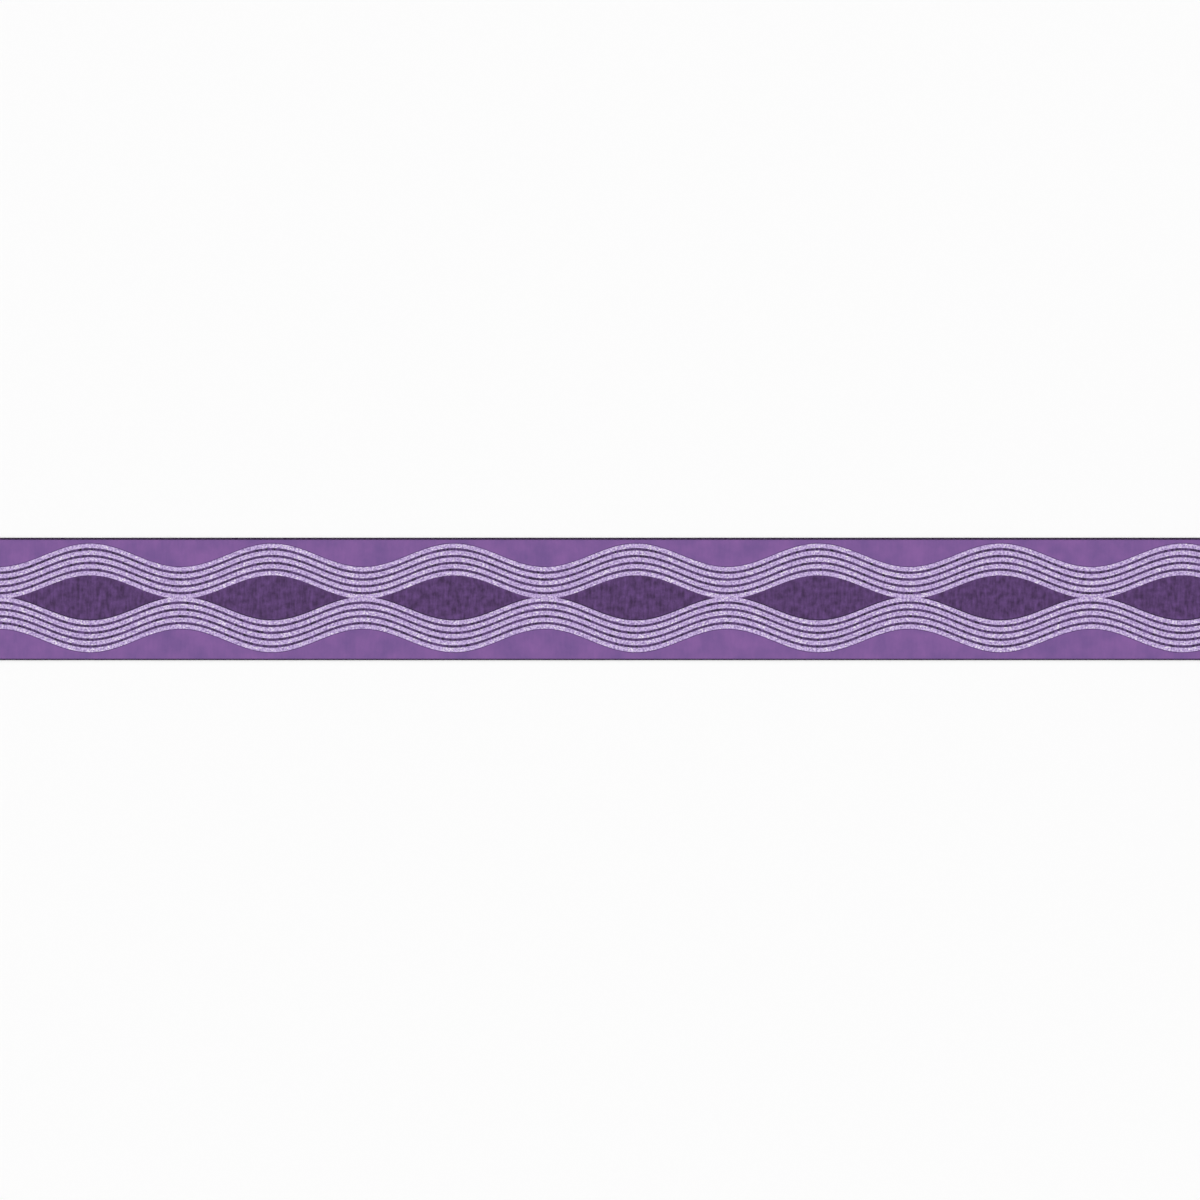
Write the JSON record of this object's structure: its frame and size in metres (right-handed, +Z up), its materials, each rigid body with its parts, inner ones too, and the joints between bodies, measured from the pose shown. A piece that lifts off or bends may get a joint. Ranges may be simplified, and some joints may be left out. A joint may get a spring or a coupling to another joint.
{
  "type": "rhythmic ribbon wand",
  "caption": "Rhythmic gymnastics wand: tapered stick with a grip, joined by a swivel, ring and snap hook to a long patterned satin ribbon, laid flat with its spare length rolled up.",
  "frame": {"origin": "on the ground, at the middle of the laid-out wand's length and of the ribbon's width", "axes": "+X from the stick's butt towards the rolled ribbon, +Y across the ribbon, +Z up from the ground"},
  "size_m": [1.2486, 0.05, 0.044],
  "materials": {
    "satin": "woven satin, printed pattern",
    "nickel_plate": "nickel-plated, polished",
    "spring_steel": "bright drawn wire",
    "nylon": "moulded",
    "glass_fibre": "gel-coated glass fibre",
    "rubber": "ribbed, matt",
    "cap_plastic": "moulded, satin"
  },
  "bodies": {
    "ribbon": {"ribbon_run": "satin", "ribbon_doubling": "satin", "ribbon_roll": "satin", "end_tab": "satin", "eyelet": "nickel_plate", "eyelet_washer": "nickel_plate"},
    "hook": {"hook_body": "nickel_plate", "gate_pin": "spring_steel", "gate_spring": "spring_steel"},
    "gate": {"hook_gate": "nickel_plate"},
    "hook_eye": {"hook_swivel_eye": "nickel_plate"},
    "ring": {"link_ring": "nickel_plate"},
    "tip_swivel": {"tip_swivel_eye": "nickel_plate"},
    "stick": {"stick_shaft": "glass_fibre", "tip_ferrule": "nickel_plate", "swivel_washer": "nylon", "grip_sleeve": "rubber", "grip_collar": "cap_plastic", "butt_cap": "cap_plastic"}
  },
  "joints": [
    {"name": "hook_tilt", "type": "hinge", "parent": "ribbon", "child": "hook", "pos_m": [-0.0263, 0, 0.005], "axis": [0, 1, 0], "range_deg": [0, 60]},
    {"name": "gate_open", "type": "hinge", "parent": "hook", "child": "gate", "pos_m": [-0.0399, 0, 0.0087], "axis": [0, 1, 0], "range_deg": [0, 22], "stiffness_Nm_per_rad": 0.01, "springref_deg": -17.19},
    {"name": "hook_spin", "type": "hinge", "parent": "hook", "child": "hook_eye", "pos_m": [-0.0449, 0, 0.005], "axis": [1, 0, 0], "continuous": true},
    {"name": "ring_swing", "type": "hinge", "parent": "hook_eye", "child": "ring", "pos_m": [-0.0503, 0, 0.005], "axis": [0, 0, 1], "range_deg": [-85, 85]},
    {"name": "stick_lift", "type": "hinge", "parent": "ring", "child": "tip_swivel", "pos_m": [-0.0546, 0, 0.005], "axis": [0, 1, 0], "range_deg": [0, 100]},
    {"name": "stick_spin", "type": "hinge", "parent": "tip_swivel", "child": "stick", "pos_m": [-0.0643, 0, 0.005], "axis": [1, 0, 0], "continuous": true}
  ]
}
